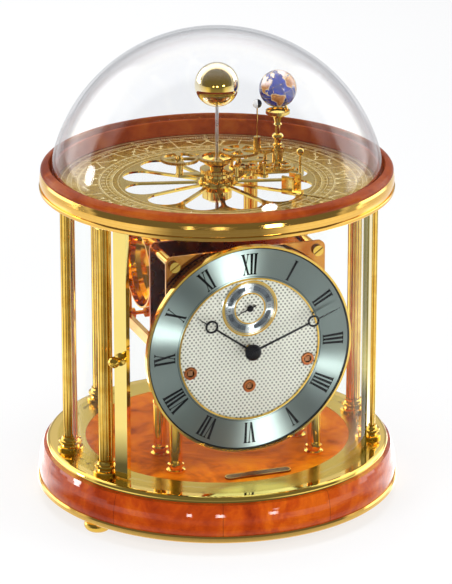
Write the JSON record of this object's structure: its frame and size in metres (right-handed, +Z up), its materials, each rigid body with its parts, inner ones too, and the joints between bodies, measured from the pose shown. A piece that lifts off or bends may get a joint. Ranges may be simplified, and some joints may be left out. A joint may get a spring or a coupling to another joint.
{
  "type": "tellurium clock",
  "caption": "Mantel tellurium clock: fluted brass columns, curved glass walls and door, burl wood base, Roman dial, and a geared sun, earth and moon under a clear dome",
  "frame": {"origin": "middle of the footprint, on the surface the clock stands on", "axes": "+Z up; the dial and the door face -Y; +X is to the right seen from the front"},
  "size_m": [0.265, 0.265, 0.3477],
  "materials": {
    "polished_brass": "polished",
    "satin_brass": "brushed satin",
    "movement_brass": "polished",
    "burl_wood": "high-gloss lacquered burl",
    "inlay_wood": "gloss lacquered burl",
    "ring_wood": "gloss lacquered",
    "clear_glass": "clear, polished",
    "clear_dome": "clear, polished",
    "steel": "polished",
    "dial_silver": "silvered, woven guilloche",
    "chapter_silver": "circular brushed, silvered",
    "black_hands": "gloss black",
    "copper": "polished copper",
    "bell_bronze": "polished bronze",
    "stand_steel": "satin",
    "globe_enamel": "gloss enamel",
    "moon_enamel": "gloss, half white and half black"
  },
  "bodies": {
    "clock": {"feet": "polished_brass", "base_bottom_ring": "polished_brass", "wooden_base": "burl_wood", "base_top_plate": "satin_brass", "wood_inlay": "inlay_wood", "name_plaque": "polished_brass", "column_shafts": "polished_brass", "column_collars": "polished_brass", "glass_panels": "clear_glass", "door_hinge_pins": "steel", "top_brass_ring": "satin_brass", "top_wood_ring": "ring_wood", "tellurium_plate": "polished_brass", "centre_hub": "polished_brass", "sun_wheel": "polished_brass", "sun_rod": "steel", "sun_ball": "polished_brass", "dial_plate": "dial_silver", "chapter_ring": "chapter_silver", "dial_bezel": "polished_brass", "subdial": "chapter_silver", "winding_grommets": "copper", "front_plate": "movement_brass", "back_plate": "movement_brass", "plate_pillars": "polished_brass", "movement_legs": "polished_brass", "bells": "bell_bronze", "bell_stand": "stand_steel"},
    "door": {"door_glass": "clear_glass", "door_stiles": "polished_brass", "door_knob": "polished_brass"},
    "dome": {"glass_dome": "clear_dome"},
    "minute_works": {"minute_hand": "black_hands", "centre_arbor": "steel"},
    "hour_works": {"hour_hand": "black_hands", "hour_wheel": "movement_brass"},
    "minute_wheel": {"minute_wheel": "movement_brass"},
    "selector": {"subdial_hand": "black_hands"},
    "drive_arbor": {"drive_arbor": "steel"},
    "going_barrel": {"going_barrel": "movement_brass"},
    "strike_barrel": {"strike_barrel": "movement_brass"},
    "chime_barrel": {"chime_barrel": "movement_brass"},
    "going_winding_arbor": {"going_winding_arbor": "steel"},
    "strike_winding_arbor": {"strike_winding_arbor": "steel"},
    "chime_winding_arbor": {"chime_winding_arbor": "steel"},
    "balance": {"balance_wheel": "movement_brass"},
    "arm": {"orbit_arm": "polished_brass", "gear_bridge": "polished_brass", "date_pointer": "polished_brass"},
    "counter_wheel": {"counter_wheel": "polished_brass"},
    "axis_idler": {"axis_idler": "polished_brass"},
    "earth_carrier": {"earth_carrier": "polished_brass"},
    "globe": {"earth_globe": "globe_enamel"},
    "moon_idler": {"moon_idler": "polished_brass"},
    "moon_transfer_wheel": {"moon_transfer_wheel": "polished_brass"},
    "moon": {"moon_arm": "polished_brass", "moon_ball": "moon_enamel"},
    "quarter_hammer": {"quarter_hammer": "stand_steel"},
    "chime_hammer": {"chime_hammer": "stand_steel"},
    "hour_hammer": {"hour_hammer": "stand_steel"}
  },
  "joints": [
    {"name": "door_swing", "type": "hinge", "parent": "clock", "child": "door", "pos_m": [0.09309, -0.06046, 0.136], "axis": [0, 0, 1], "range_deg": [0, 110]},
    {"name": "dome_lift", "type": "slide", "parent": "clock", "child": "dome", "axis": [0, 0, 1], "range_m": [0, 0.13]},
    {"name": "minute_turn", "type": "hinge", "parent": "clock", "child": "minute_works", "pos_m": [0, -0.07, 0.131], "axis": [0, 1, 0], "continuous": true},
    {"name": "hour_turn", "type": "hinge", "parent": "clock", "child": "hour_works", "pos_m": [0, -0.07, 0.131], "axis": [0, 1, 0], "continuous": true},
    {"name": "minute_wheel_turn", "type": "hinge", "parent": "clock", "child": "minute_wheel", "pos_m": [-0.00848, -0.063, 0.14111], "axis": [0, 1, 0], "continuous": true},
    {"name": "selector_turn", "type": "hinge", "parent": "clock", "child": "selector", "pos_m": [0, -0.068, 0.162], "axis": [0, 1, 0], "range_deg": [-180, 90]},
    {"name": "drive_turn", "type": "hinge", "parent": "clock", "child": "drive_arbor", "pos_m": [0, 0, 0.19], "axis": [0, 0, 1], "continuous": true},
    {"name": "going_barrel_turn", "type": "hinge", "parent": "clock", "child": "going_barrel", "pos_m": [0, -0.04, 0.103], "axis": [0, 1, 0], "continuous": true},
    {"name": "going_winding", "type": "hinge", "parent": "clock", "child": "going_winding_arbor", "pos_m": [0, -0.06, 0.103], "axis": [0, 1, 0], "continuous": true},
    {"name": "strike_barrel_turn", "type": "hinge", "parent": "clock", "child": "strike_barrel", "pos_m": [-0.0445, -0.04, 0.118], "axis": [0, 1, 0], "continuous": true},
    {"name": "strike_winding", "type": "hinge", "parent": "clock", "child": "strike_winding_arbor", "pos_m": [-0.0445, -0.06, 0.118], "axis": [0, 1, 0], "continuous": true},
    {"name": "chime_barrel_turn", "type": "hinge", "parent": "clock", "child": "chime_barrel", "pos_m": [0.0445, -0.04, 0.118], "axis": [0, 1, 0], "continuous": true},
    {"name": "chime_winding", "type": "hinge", "parent": "clock", "child": "chime_winding_arbor", "pos_m": [0.0445, -0.06, 0.118], "axis": [0, 1, 0], "continuous": true},
    {"name": "balance_swing", "type": "hinge", "parent": "clock", "child": "balance", "pos_m": [0.022, -0.018, 0.117], "axis": [0, 1, 0], "range_deg": [-135, 135], "stiffness_Nm_per_rad": 0.00006},
    {"name": "arm_orbit", "type": "hinge", "parent": "clock", "child": "arm", "pos_m": [0, 0, 0.2417], "axis": [0, 0, 1], "continuous": true},
    {"name": "counter_wheel_turn", "type": "hinge", "parent": "arm", "child": "counter_wheel", "pos_m": [-0.02641, 0.00561, 0.2538], "axis": [0, 0, 1], "continuous": true},
    {"name": "axis_idler_turn", "type": "hinge", "parent": "arm", "child": "axis_idler", "pos_m": [0.02152, -0.00457, 0.245], "axis": [0, 0, 1], "continuous": true},
    {"name": "earth_axis_hold", "type": "hinge", "parent": "arm", "child": "earth_carrier", "pos_m": [0.04304, -0.00915, 0.25], "axis": [0, 0, 1], "continuous": true},
    {"name": "earth_spin", "type": "hinge", "parent": "earth_carrier", "child": "globe", "pos_m": [0.04304, -0.00915, 0.3035], "axis": [-0.3971, 0, 0.9178], "continuous": true},
    {"name": "moon_idler_turn", "type": "hinge", "parent": "arm", "child": "moon_idler", "pos_m": [0.01683, -0.00118, 0.255], "axis": [0, 0, 1], "continuous": true},
    {"name": "moon_transfer_turn", "type": "hinge", "parent": "arm", "child": "moon_transfer_wheel", "pos_m": [0.03471, -0.00573, 0.257], "axis": [0, 0, 1], "continuous": true},
    {"name": "moon_orbit", "type": "hinge", "parent": "arm", "child": "moon", "pos_m": [0.04304, -0.00915, 0.26], "axis": [0, 0, 1], "continuous": true},
    {"name": "quarter_hammer_swing", "type": "hinge", "parent": "clock", "child": "quarter_hammer", "pos_m": [-0.025, 0.04, 0.128], "axis": [-1, 0, 0], "range_deg": [-1.6, 18], "stiffness_Nm_per_rad": 0.05},
    {"name": "chime_hammer_swing", "type": "hinge", "parent": "clock", "child": "chime_hammer", "pos_m": [-0.039, 0.04, 0.128], "axis": [-1, 0, 0], "range_deg": [-1.6, 18], "stiffness_Nm_per_rad": 0.05},
    {"name": "hour_hammer_swing", "type": "hinge", "parent": "clock", "child": "hour_hammer", "pos_m": [-0.053, 0.04, 0.128], "axis": [-1, 0, 0], "range_deg": [-1.6, 18], "stiffness_Nm_per_rad": 0.05}
  ],
  "couplings": [
    {"joint": "minute_turn", "follows": "going_barrel_turn", "ratio": -7},
    {"joint": "hour_turn", "follows": "going_barrel_turn", "ratio": -0.58333},
    {"joint": "minute_wheel_turn", "follows": "going_barrel_turn", "ratio": 2.3333},
    {"joint": "drive_turn", "follows": "going_barrel_turn", "ratio": -0.29167},
    {"joint": "earth_spin", "follows": "going_barrel_turn", "ratio": -0.29167},
    {"joint": "counter_wheel_turn", "follows": "arm_orbit", "ratio": 1},
    {"joint": "axis_idler_turn", "follows": "arm_orbit", "ratio": 1.2},
    {"joint": "earth_axis_hold", "follows": "arm_orbit", "ratio": -1},
    {"joint": "moon_idler_turn", "follows": "arm_orbit", "ratio": 4},
    {"joint": "moon_transfer_turn", "follows": "arm_orbit", "ratio": -12.4},
    {"joint": "moon_orbit", "follows": "arm_orbit", "ratio": 12.4}
  ]
}
